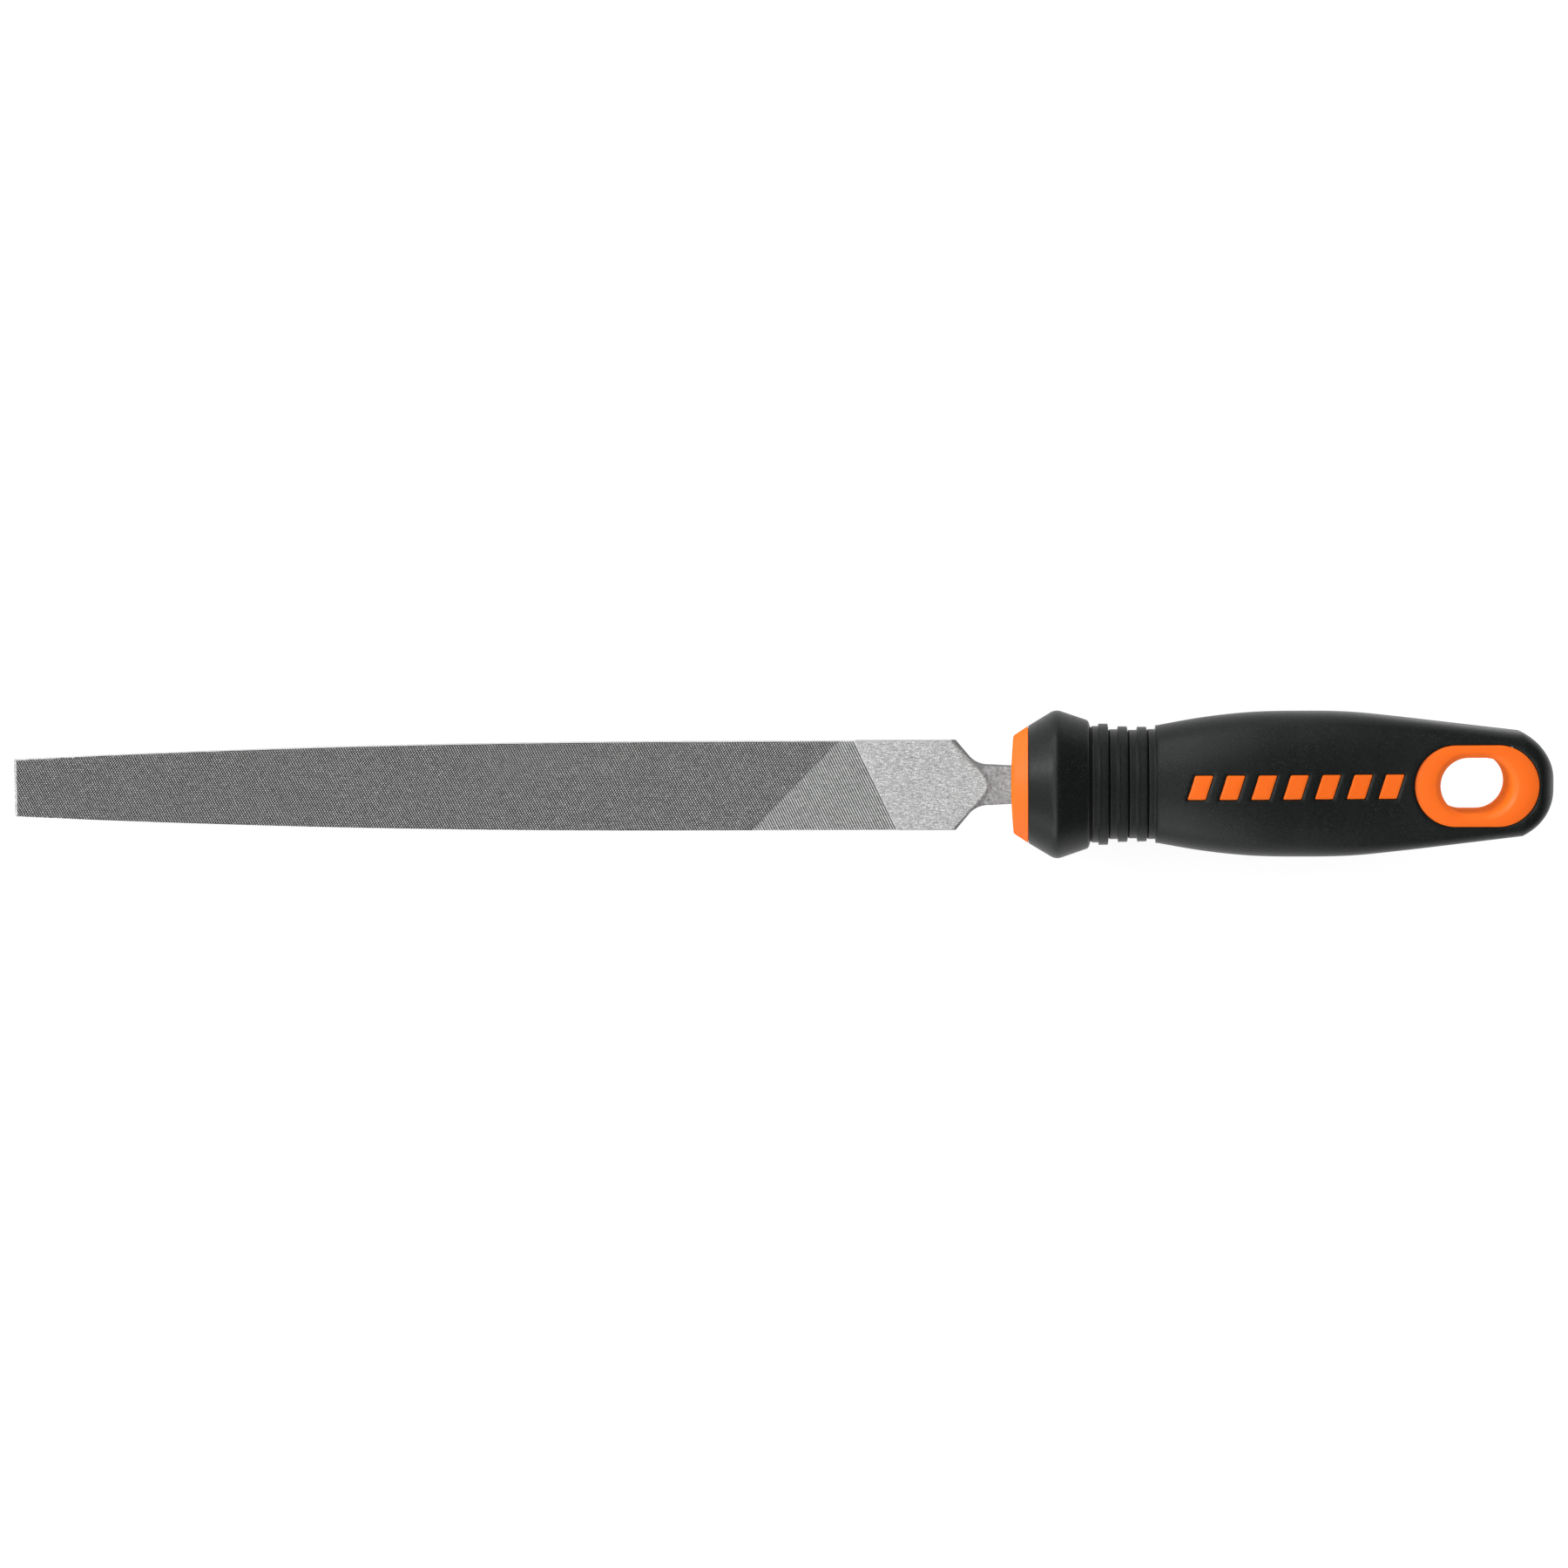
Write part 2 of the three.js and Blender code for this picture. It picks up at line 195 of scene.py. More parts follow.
class Shell:
    """Points, faces and material slots of one closed skin, gathered piece by piece."""

    def __init__(self):
        self.points = []
        self.faces = []
        self.slots = []
        self.field_start = 0  # number of the first face of the tooth field being made

    def add(self, points):
        """Adds points and returns their indices."""
        first = len(self.points)
        self.points.extend(points)
        return list(range(first, len(self.points)))

    def face(self, corners, slot):
        self.faces.append(tuple(corners))
        self.slots.append(slot)

    def wall(self, upper, lower, slot):
        """Quads between two chains of the same length that both run anticlockwise round the blade."""
        for i in range(len(upper) - 1):
            self.face((upper[i], lower[i], lower[i + 1], upper[i + 1]), slot)

    def zip(self, upper, lower, slot):
        """Triangles between two chains of (place round the blade, index), both sorted."""
        i = j = 0
        while i < len(upper) - 1 or j < len(lower) - 1:
            take_upper = j == len(lower) - 1
            if not take_upper and i < len(upper) - 1:
                take_upper = upper[i + 1][0] < lower[j + 1][0]
            if take_upper:
                self.face((upper[i][1], lower[j][1], upper[i + 1][1]), slot(upper[i][0]))
                i += 1
            else:
                self.face((upper[i][1], lower[j][1], lower[j + 1][1]), slot(upper[i][0]))
                j += 1


def rim_place(x, y):
    """How far round the outline a point is, anticlockwise from the heel line on +Y by way of the tip."""
    length = HEEL_LINE - TIP
    if x < TIP + TIP_STRIP + 1e-6:
        return length + TIP_HALF_WIDTH - y
    return HEEL_LINE - x if y > 0 else length + 2 * TIP_HALF_WIDTH + x - TIP


def cut_lines(count, start, pitch, rng):
    """Distances of the lines of one cut along its normal, with the small unevenness of a cutting machine."""
    lines = start - pitch * np.arange(count)
    lines[1:] += pitch * LINE_UNEVENNESS * rng.standard_normal(count - 1)
    return lines


def tooth_field(shell, turn, rng):
    """The cut side of the blade. turn is 1 for the upper side and -1 for the lower, the same turned over.

    Teeth stand in the cells between the crossing lines of the two cuts. Returns the heel border's indices,
    from local +Y to local -Y, and the indices of every other point on the sheet's rim.
    """
    sin_a, cos_a = math.sin(UPCUT_ANGLE), math.cos(UPCUT_ANGLE)
    sin_b, cos_b = math.sin(OVERCUT_ANGLE), math.cos(OVERCUT_ANGLE)
    up_start = sin_a * UPCUT_HEEL[0] + cos_a * UPCUT_HEEL[1]
    over_start = sin_b * OVERCUT_HEEL[0] - cos_b * OVERCUT_HEEL[1]
    reach = HEEL_LINE - TIP + 2 * HALF_WIDTH
    up = cut_lines(int(reach / UPCUT_PITCH), up_start, UPCUT_PITCH, rng)[:, None]
    over_double = cut_lines(int(reach / OVERCUT_PITCH), over_start, OVERCUT_PITCH, rng)
    single = int(3 * HALF_WIDTH / OVERCUT_PITCH)
    over_single = over_start + OVERCUT_PITCH * np.arange(single, 0, -1)
    over = np.concatenate([over_single, over_double])[None, :]
    spread = math.sin(UPCUT_ANGLE + OVERCUT_ANGLE)
    x = (up * cos_b + over * cos_a) / spread
    y = (up * sin_b - over * sin_a) / spread
    tip_line = TIP + TIP_STRIP
    inset = blade_half_width(x) - EDGE_DEPTH
    inside = (x > tip_line) & (np.abs(y) < inset)
    cell = inside[:-1, :-1] | inside[1:, :-1] | inside[:-1, 1:] | inside[1:, 1:]
    x = np.maximum(x, tip_line)
    inset = blade_half_width(x) - EDGE_DEPTH
    y = np.clip(y, -inset, inset)
    line_depth = TOOTH_DEPTH * (1 + DEPTH_UNEVENNESS * rng.standard_normal(x.shape))
    line_depth[0] = 0
    z = blade_half_thickness(x) - line_depth

    used = np.zeros(x.shape, bool)
    for rows in (slice(None, -1), slice(1, None)):
        for columns in (slice(None, -1), slice(1, None)):
            used[rows, columns] |= cell
    index = -np.ones(x.shape, int)
    points = np.stack([x[used], turn * y[used], turn * z[used]], 1)
    index[used] = shell.add(points.tolist())

    rows, columns = np.nonzero(cell)
    corners = [(rows, columns), (rows, columns + 1), (rows + 1, columns + 1), (rows + 1, columns)]
    corner_x = np.stack([x[c] for c in corners], 1)
    corner_y = np.stack([y[c] for c in corners], 1)
    diagonal_x = corner_x[:, 2:] - corner_x[:, :2]
    diagonal_y = corner_y[:, 2:] - corner_y[:, :2]
    area = 0.5 * np.abs(diagonal_x[:, 0] * diagonal_y[:, 1] - diagonal_x[:, 1] * diagonal_y[:, 0])
    full = np.clip(2 * area / (UPCUT_PITCH * OVERCUT_PITCH) - 0.2, 0, 1)
    uneven = rng.standard_normal((3, len(rows)))
    peak_x = corner_x.mean(1) - full * (TOOTH_LEAN + PEAK_UNEVENNESS * uneven[0])
    peak_y = corner_y.mean(1) + full * PEAK_UNEVENNESS * uneven[1]
    crest = TOOTH_DEPTH * (1 - full) + CREST_UNEVENNESS * np.abs(uneven[2])
    peak_z = blade_half_thickness(peak_x) - crest
    double = columns >= single
    peaks = shell.add(np.stack([peak_x, turn * peak_y, turn * peak_z], 1)[double].tolist())
    peak_at = dict(zip(zip(rows[double].tolist(), columns[double].tolist()), peaks))

    ridge_at = {}

    def ridge(row, column):
        """The crest point above one crossing line of the single-cut part."""
        if (row, column) not in ridge_at:
            mid_x = (x[row, column] + x[row + 1, column]) / 2 - TOOTH_LEAN
            mid_y = (y[row, column] + y[row + 1, column]) / 2
            top = float(blade_half_thickness(mid_x)) - CREST_UNEVENNESS * abs(rng.standard_normal())
            ridge_at[row, column] = shell.add([[mid_x, turn * mid_y, turn * top]])[0]
        return ridge_at[row, column]

    for row, column in zip(rows.tolist(), columns.tolist()):
        a, b = index[row, column], index[row, column + 1]
        c, d = index[row + 1, column + 1], index[row + 1, column]
        heel_side = BARE if row == 0 else CUT
        if column >= single:
            peak = peak_at[row, column]
            shell.face((a, b, peak), heel_side)
            for start, end in ((b, c), (c, d), (d, a)):
                shell.face((start, end, peak), CUT)
        else:
            near, far = ridge(row, column), ridge(row, column + 1)
            shell.face((a, b, far, near), heel_side)
            shell.face((near, far, c, d), CUT)
            if column == single - 1 and cell[row, single]:
                shell.face((b, c, far), CUT)

    seen = {}
    for face in shell.faces[shell.field_start:]:
        for start, end in zip(face, face[1:] + face[:1]):
            key = (min(start, end), max(start, end))
            seen[key] = seen.get(key, 0) + 1
    rim = {point for edge, count in seen.items() if count == 1 for point in edge}
    border = [i for i in index[0][::-1].tolist() if i >= 0]
    return border, rim - set(border[1:-1])


def build_blade(materials):
    shell = Shell()
    rng = np.random.default_rng(SEED)
    hidden = FACE + 1  # from here on the tang is inside the handle
    columns_x = np.concatenate([
        np.linspace(HEEL_LINE, SHOULDER, HEEL_COLUMNS),
        np.linspace(SHOULDER, hidden, TANG_COLUMNS)[1:],
        np.linspace(hidden, TANG_END, HIDDEN_COLUMNS)[1:],
    ])
    across = np.linspace(-1, 1, ROWS)
    widths = blade_half_width(columns_x)
    sides = {}
    for turn in (1, -1):
        shell.field_start = len(shell.faces)
        border, rim = tooth_field(shell, turn, rng)
        grid = []
        for x, width in zip(columns_x, widths):
            edge = width - EDGE_DEPTH
            grid.append(shell.add([
                [x, turn * v * edge, turn * shoulder_height(x, v * edge)] for v in across
            ]))
        border_down = border if shell.points[border[0]][1] * turn > 0 else border[::-1]
        shell.face(border_down + grid[0], BARE)
        for k in range(len(grid) - 1):
            for j in range(len(across) - 1):
                shell.face((grid[k][j], grid[k + 1][j], grid[k + 1][j + 1], grid[k][j + 1]), BARE)
        plus_end, minus_end = (-1, 0) if turn > 0 else (0, -1)
        placed = [(rim_place(*shell.points[i][:2]), i) for i in rim]
        placed += [(0.0, grid[0][plus_end]), (ROUND_END, grid[0][minus_end])]
        sides[turn] = {
            "rim": sorted(placed),
            "plus": [column[plus_end] for column in grid],
            "minus": [column[minus_end] for column in grid],
            "end": grid[-1],
        }

    rails = {}
    for turn in (1, -1):
        heights = [abs(shell.points[i][2]) for i in sides[turn]["plus"]]
        for side in (1, -1):
            rails[turn, side] = shell.add([
                [x, side * width, turn * RAIL_SHARE * height]
                for x, width, height in zip(columns_x, widths, heights)
            ])

    plus = np.arange(HEEL_LINE - EDGE_STEP, TIP, -EDGE_STEP)
    minus_cut_end = UPCUT_HEEL[0] + 2 * HALF_WIDTH / math.tan(UPCUT_ANGLE)
    outline = []
    for i, x in enumerate(plus):
        groove = EDGE_DEPTH if i % 2 and x < UPCUT_HEEL[0] else 0
        outline.append((x, blade_half_width(x) - groove))
    for y in np.linspace(TIP_HALF_WIDTH, -TIP_HALF_WIDTH, TIP_POINTS):
        outline.append((TIP, y))
    for i, x in enumerate(plus[::-1]):
        groove = EDGE_DEPTH if i % 2 and x < minus_cut_end else 0
        outline.append((x, groove - blade_half_width(x)))
    chains = {}
    for turn in (1, -1):
        added = shell.add([
            [x, y, turn * RAIL_SHARE * float(blade_half_thickness(x))] for x, y in outline
        ])
        chains[turn] = [rails[turn, 1][0], *added, rails[turn, -1][0]]

    plus_cut = rim_place(UPCUT_HEEL[0], HALF_WIDTH)
    minus_cut = rim_place(minus_cut_end, -HALF_WIDTH)
    tip_plus = rim_place(TIP, TIP_HALF_WIDTH)
    tip_minus = rim_place(TIP, -TIP_HALF_WIDTH)

    def rim_slot(place):
        """The edges' teeth end with the faces' teeth; the heel's sides and the tip are bare."""
        return CUT if plus_cut < place < tip_plus or tip_minus < place < minus_cut else BARE

    places = [rim_place(*shell.points[i][:2]) for i in chains[1]]
    places[0], places[-1] = 0.0, ROUND_END
    shell.zip(sides[1]["rim"], list(zip(places, chains[1])), rim_slot)
    for i in range(len(chains[1]) - 1):
        middle = (places[i] + places[i + 1]) / 2
        shell.wall(chains[1][i : i + 2], chains[-1][i : i + 2], rim_slot(middle))
    shell.zip(list(zip(places, chains[-1])), sides[-1]["rim"], rim_slot)

    for side, key in ((1, "plus"), (-1, "minus")):
        order = slice(None, None, -1) if side > 0 else slice(None)
        stack = [sides[1][key], rails[1, side], rails[-1, side], sides[-1][key]]
        for upper, lower in zip(stack, stack[1:]):
            shell.wall(upper[order], lower[order], BARE)
    cap = [*sides[1]["end"], rails[1, 1][-1], rails[-1, 1][-1]]
    cap += [*sides[-1]["end"], rails[-1, -1][-1], rails[1, -1][-1]]
    shell.face(cap[::-1], BARE)

    blade = make_piece("blade_steel", shell.points, shell.faces, materials, shell.slots)
    clean(blade, MERGE)
    smooth(blade, SHARP_ANGLE)
    mark_points(blade)
    return blade


def mark_points(blade):
    """Stores how deep in a groove each point lies, from 0 on a crest to 1 at the bottom, and how many
    millimetres it lies past the end of the heel's ground flat.
    """
    count = len(blade.data.vertices)
    points = np.empty(count * 3)
    blade.data.vertices.foreach_get("co", points)
    x, y, z = points.reshape(count, 3).T / MM
    below = (blade_half_thickness(x) - np.abs(z)) / TOOTH_DEPTH
    inward = EDGE_SHARE * (blade_half_width(x) - np.abs(y)) / EDGE_DEPTH
    depth = np.where(np.abs(z) > 0.9 * blade_half_thickness(x), below, inward)
    depth = np.where(x < HEEL_LINE, np.clip(depth, 0, 1), 0)
    for name, values in (("groove_depth", depth), ("past_flat", x - SHOULDER - flat_end(y))):
        layer = blade.data.attributes.new(name, "FLOAT", "POINT")
        layer.data.foreach_set("value", values)


# ---- Mesh helpers ----


def make_piece(name, points, faces, materials, slots=None):
    """A mesh object from points in millimetres."""
    mesh = bpy.data.meshes.new(name)
    mesh.from_pydata((np.asarray(points, float) * MM).tolist(), [], faces)
    for material in materials:
        mesh.materials.append(material)
    if slots is not None:
        mesh.polygons.foreach_set("material_index", slots)
    mesh.validate()
    piece = bpy.data.objects.new(name, mesh)
    bpy.context.scene.collection.objects.link(piece)
    return piece


def clean(piece, merge_mm):
    """Merges points closer than merge_mm and drops the empty faces that leaves."""
    work = bmesh.new()
    work.from_mesh(piece.data)
    bmesh.ops.remove_doubles(work, verts=work.verts, dist=merge_mm * MM)
    bmesh.ops.dissolve_degenerate(work, edges=work.edges, dist=merge_mm * MM / 10)
    work.to_mesh(piece.data)
    work.free()


def smooth(piece, degrees):
    """Smooth shading, with edges sharper than the angle kept crisp."""
    piece.data.shade_smooth()
    piece.data.set_sharp_from_angle(angle=math.radians(degrees))


def combine(piece, cutter, operation):
    """Joins cutter to piece or cuts it away, and deletes the cutter."""
    modifier = piece.modifiers.new(operation.lower(), "BOOLEAN")
    modifier.object = cutter
    modifier.operation = operation
    modifier.solver = "MANIFOLD"
    bpy.context.view_layer.update()
    evaluated = piece.evaluated_get(bpy.context.evaluated_depsgraph_get())
    mesh = bpy.data.meshes.new_from_object(evaluated)
    piece.modifiers.clear()
    old = piece.data
    piece.data = mesh
    bpy.data.meshes.remove(old)
    bpy.data.objects.remove(cutter)


# ---- Handle outline, measured from its front face ----

SEAM = 3.6
SEAM_RADIUS = 12.45
FACE_RADIUS = 10.4
FACE_DOME = 0.5
CREST = (9.45, 16.0, 1.3)  # along, radius, rounding
COLLAR_END = (16.4, 13.6, 0.5)
RIB_START = 18.65
RIB_PITCH = 4.08
RIB_WIDTH = 1.85
RIB_RADII = (12.9, 12.3, 12.2)
GROOVE_RADII = (12.4, 11.7, 11.55, 11.7)
RIB_EASE = 0.2
CREASE = 0.3  # a sharp furrow behind each rib
FLASH = 0.08  # the thin moulding flash along one edge of each rib
WAIST_FLATNESS = 0.93
TAIL_ARC_START = 107.3
TAIL_ROUNDING = 4.6
TAIL_ROUNDING_POWER = 2.5
# Sections of the belly: along, half width, half thickness, squareness
BELLY = np.array([
    (30.7, 12.5, 11.6, 2.0),
    (40.6, 14.2, 12.0, 2.1),
    (50.8, 15.25, 11.9, 2.3),
    (61.1, 15.45, 11.3, 2.6),
    (71.3, 15.2, 10.6, 3.2),
    (81.5, 14.15, 10.1, 4.0),
    (91.2, 12.95, 10.0, 4.6),
    (107.3, 11.0, 10.0, 4.6),
])
OVERMOULD = 3.0
PIECE_GAP = 0.16
SEAM_GAP = 0.08
CORE_NECK_RADIUS = 9.2
SEAM_LIP = (1.5, 12.0)  # length and radius of the core's step under the seam
ANCHOR = (6.2, 12.4, 12.4)  # start, end, radius
ROD_END = 90.0
CORE_SEGMENTS = 160
ROD_SEGMENTS = 96
SLEEVE_SEGMENTS = 208
PUNCH_TOP = 20.0
BAR_SPACE_BOTTOM = 4.0
SLEEVE_MERGE = 0.01  # points of the sleeve closer than this are one
HANDLE_SHARP_ANGLE = 32

EYE_CENTRE = 97.35
EYE_SIZE = (25.9, 17.1)
EYE_HALF_THICKNESS = 9.6
HOLE_SIZE = (15.0, 11.8)
HOLE_CHAMFER = 1.1
HOLE_CHAMFER_DEPTH = 0.8

BAR_COUNT = 7
BAR_FIRST = 39.65
BAR_PITCH = 6.65
BAR_HALF_WIDTH = 1.9
BAR_HALF_HEIGHT = 2.55
BAR_LEAN = 0.32
BAR_ROUNDING = 0.3
BAR_ROOT_DEPTH = 3.0  # a bar's root lies this far under the eye's face
# The rings of a bar's top edge: how far in from its outline and how far under the grip's skin
BAR_EDGE = ((0.0, 0.22), (0.07, 0.1), (0.2, 0.06))
BAR_CROWN = (0.75, 0.4, 0.1)  # sizes of the rings inside the last of them
LIP_WIDTH = 0.6
LIP_DROP = 0.2


def belly(x):
    """Half width, half thickness and squareness at x: a smooth curve through the belly's sections."""
    places, values = BELLY[:, 0], BELLY[:, 1:]
    slopes = np.gradient(values, places, axis=0)
    x = np.clip(x, places[0], places[-1])
    i = np.clip(np.searchsorted(places, x) - 1, 0, len(places) - 2)
    step = places[i + 1] - places[i]
    t = (x - places[i]) / step
    return (
        (2 * t**3 - 3 * t**2 + 1) * values[i]
        + (t**3 - 2 * t**2 + t) * step * slopes[i]
        + (3 * t**2 - 2 * t**3) * values[i + 1]
        + (t**3 - t**2) * step * slopes[i + 1]
    )


def half_thickness(x, half_width):
    start = BELLY[0, 0]
    if x < start:
        t = min(max(x / start, 0.0), 1.0)
        return half_width * (1 + (WAIST_FLATNESS - 1) * t * t * (3 - 2 * t))
    depth = max(0.0, (x - (HANDLE_LENGTH - TAIL_ROUNDING)) / TAIL_ROUNDING)
    rounding = max(0.0, 1 - depth**TAIL_ROUNDING_POWER) ** (1 / TAIL_ROUNDING_POWER)
    return belly(x)[1] * rounding


def eased(before, here, after, rounding, steps):
    """Points of the curve that replaces the corner at here."""
    before, here, after = (np.array(point[:2], float) for point in (before, here, after))
    start = here + (before - here) / np.linalg.norm(before - here) * rounding
    end = here + (after - here) / np.linalg.norm(after - here) * rounding
    shares = np.linspace(0, 1, steps + 1)
    return [(1 - t) ** 2 * start + 2 * t * (1 - t) * here + t * t * end for t in shares]


def rounded(corners, steps=5):
    """Points along a line through (x, radius, rounding) corners, with the rounded ones drawn as curves."""
    points = []
    for i, corner in enumerate(corners):
        if corner[2]:
            points += eased(corners[i - 1], corner, corners[i + 1], corner[2], steps)
        else:
            points.append(np.array(corner[:2], float))
    return points


def filled(points, step):
    """The same line with extra points so that none are further apart than step."""
    line = [points[0]]
    for start, end in zip(points, points[1:]):
        pieces = max(1, math.ceil(np.linalg.norm(np.subtract(end, start)) / step))
        for i in range(1, pieces + 1):
            line.append(np.add(start, np.subtract(end, start) * i / pieces))
    return line


def grip_profile():
    """The black part's outline from the seam to the tail, as (along, half width) points."""
    front = SEAM + SEAM_GAP
    front_radius = SEAM_RADIUS + SEAM_GAP * (CREST[1] - SEAM_RADIUS) / (CREST[0] - SEAM)
    corners = [
        (front, front_radius - 0.5, 0),
        (front, front_radius, 0.12),
        CREST,
        COLLAR_END,
        (COLLAR_END[0] + 0.45, GROOVE_RADII[0] - CREASE, 0.15),
        (COLLAR_END[0] + 0.8, GROOVE_RADII[0], 0.15),
    ]
    for i, radius in enumerate(RIB_RADII):
        start = RIB_START + i * RIB_PITCH
        end = start + RIB_WIDTH
        corners += [
            (start - RIB_EASE, GROOVE_RADII[i], 0.12),
            (start - 0.05, radius + FLASH, 0.2),
            (start + 0.3, radius, 0.1),
            (end, radius, 0.22),
            (end + RIB_EASE, GROOVE_RADII[i + 1] - CREASE, 0.1),
            (end + 2 * RIB_EASE, GROOVE_RADII[i + 1], 0.1),
        ]
    corners += [
        (BELLY[0, 0] - RIB_EASE, GROOVE_RADII[-1], 0.12),
        (BELLY[0, 0] - 0.05, BELLY[0, 1] + FLASH, 0.06),
        (BELLY[0, 0] + 0.2, BELLY[0, 1] + 0.02, 0),
    ]
    line = filled(rounded(corners), 0.7)
    for x in np.arange(BELLY[0, 0] + 0.6, TAIL_ARC_START, 0.4):
        line.append(np.array((x, belly(x)[0])))
    run = HANDLE_LENGTH - TAIL_ARC_START
    half = BELLY[-1, 1]
    radius = (run * run + half * half) / (2 * run)
    for angle in np.linspace(math.asin(half / radius), 0, 26)[:-1]:
        x = HANDLE_LENGTH - radius * (1 - math.cos(angle))
        line.append(np.array((x, radius * math.sin(angle))))
    return [np.array((front, 0.0)), *line, np.array((HANDLE_LENGTH, 0.0))]


def loft(name, profile, thin, segments, materials, drop=None):
    """A closed body round the axis. thin is taken off its width and thickness; drop lowers its skin."""
    angles = np.linspace(0, 2 * math.pi, segments, endpoint=False)
    points = []
    for x, half_width in profile[1:-1]:
        width = half_width - thin
        height = half_thickness(x, half_width) - thin
        power = belly(x)[2]
        across = np.abs(np.cos(angles) / width) ** power
        upright = np.abs(np.sin(angles) / height) ** power
        reach = (across + upright) ** (-1 / power)
        ring = np.stack([np.full(segments, x), reach * np.cos(angles), reach * np.sin(angles)], 1)
        if drop is not None:
            ring = drop(ring)
        points.append(ring)
    rings = len(points)
    points = np.concatenate([*points, [[profile[0][0], 0, 0], [profile[-1][0], 0, 0]]])
    points[:, 0] += FACE
    faces = []
    for i in range(rings - 1):
        for j in range(segments):
            k = (j + 1) % segments
            faces.append((i * segments + j, i * segments + k, (i + 1) * segments + k, (i + 1) * segments + j))
    first, last = rings * segments, rings * segments + 1
    for j in range(segments):
        k = (j + 1) % segments
        faces.append((first, k, j))
        faces.append((last, (rings - 1) * segments + j, (rings - 1) * segments + k))
    return make_piece(name, points, faces, materials)


# ---- Eye, bars and their windows ----


def racetrack(size, grow=0):
    """Points round a slot shape centred on the eye, anticlockwise seen from +Z, always the same number."""
    length = size[0] + 2 * grow
    width = size[1] + 2 * grow
    radius = width / 2
    reach = (length - width) / 2
    points = []
    for side, start in ((1, -math.pi / 2), (-1, math.pi / 2)):
        for angle in np.linspace(start, start + math.pi, 41):
            points.append((EYE_CENTRE + side * reach + radius * math.cos(angle), radius * math.sin(angle)))
        for share in (0.2, 0.4, 0.6, 0.8):
            points.append((EYE_CENTRE + side * reach * (1 - 2 * share), side * radius))
    return points


def level(outline, z):
    """A ring of points: an outline measured from the handle's front face, at the height z."""
    return [(x + FACE, y, z) for x, y in outline]


def ringed(name, rings, materials, closed=False):
    """A skin through rings of points. closed joins the last ring to the first, else both are capped."""
    count = len(rings[0])
    points = [point for ring in rings for point in ring]
    faces = []
    spans = len(rings) if closed else len(rings) - 1
    for i in range(spans):
        n = (i + 1) % len(rings)
        for j in range(count):
            k = (j + 1) % count
            faces.append((i * count + j, i * count + k, n * count + k, n * count + j))
    if not closed:
        faces.append(tuple(range(count))[::-1])
        faces.append(tuple(range((len(rings) - 1) * count, len(rings) * count)))
    return make_piece(name, points, faces, materials)


def punch(name, outline, bottom, materials):
    """An upright cutter of one outline, from bottom to well above the handle."""
    return ringed(name, [level(outline, bottom), level(outline, PUNCH_TOP)], materials)


def eye_boss(materials):
    """The orange racetrack ring with its chamfered hole: a skin up through the hole and down the outside."""
    top = EYE_HALF_THICKNESS
    chamfer = top - HOLE_CHAMFER_DEPTH
    # Each ring's growth from the size of the hole or of the eye, and its height
    inner = [
        (0, chamfer - 0.15),
        (0.06, chamfer),
        (HOLE_CHAMFER - 0.08, top - 0.06),
        (HOLE_CHAMFER + 0.12, top),
    ]
    outer = [(-0.22, top), (-0.06, top - 0.06), (0, top - 0.22)]
    walls = [(0, z) for z in np.linspace(-top / 2, top / 2, 5)]
    upwards = [(grow, -z) for grow, z in inner[::-1]] + walls + inner
    downwards = outer + walls[::-1] + [(grow, -z) for grow, z in outer[::-1]]
    rings = [level(racetrack(HOLE_SIZE, grow), z) for grow, z in upwards]
    rings += [level(racetrack(EYE_SIZE, grow), z) for grow, z in downwards]
    return ringed("eye_boss", rings[::-1], materials, True)


def bar_outline(centre, grow):
    half_height = BAR_HALF_HEIGHT + grow
    half_width = BAR_HALF_WIDTH + grow
    lean = BAR_LEAN * half_height
    corners = [
        (centre - half_width - lean, -half_height),
        (centre + half_width - lean, -half_height),
        (centre + half_width + lean, half_height),
        (centre - half_width + lean, half_height),
    ]
    points = []
    for i, corner in enumerate(corners):
        points += eased(corners[i - 1], corner, corners[(i + 1) % 4], BAR_ROUNDING, 3)
    return [tuple(point) for point in points]


def skin_height(x, y):
    """Height of the grip's upper surface above the axis."""
    width, height, power = belly(x)
    return height * (1 - min(1.0, abs(y) / width) ** power) ** (1 / power)


def mark_bar(centre, materials):
    """One raised bar whose top follows the grip's crowned surface."""
    rings = [level(bar_outline(centre, 0), EYE_HALF_THICKNESS - BAR_ROOT_DEPTH)]
    for shrink, sunk in BAR_EDGE:
        rings.append([(x + FACE, y, skin_height(x, y) - sunk) for x, y in bar_outline(centre, -shrink)])
    for share in BAR_CROWN:
        ring = []
        for x, y in bar_outline(centre, -shrink):
            x = centre + (x - centre) * share
            y = y * share
            ring.append((x + FACE, y, skin_height(x, y) - sunk))
        rings.append(ring)
    return ringed("mark_bar", rings, materials)


def eye_distance(x, y):
    """How far a point is outside the eye's ring."""
    length, width = EYE_SIZE
    aside = np.maximum(np.abs(x - EYE_CENTRE) - (length - width) / 2, 0)
    return np.hypot(aside, y) - width / 2


def bar_distance(x, y):
    """How far a point is outside the nearest bar."""
    number = np.clip(np.round((x - BAR_LEAN * y - BAR_FIRST) / BAR_PITCH), 0, BAR_COUNT - 1)
    aside = np.abs(x - BAR_LEAN * y - BAR_FIRST - number * BAR_PITCH) - BAR_HALF_WIDTH
    above = np.abs(y) - BAR_HALF_HEIGHT
    return np.hypot(np.maximum(aside, 0), np.maximum(above, 0)) + np.minimum(np.maximum(aside, above), 0)


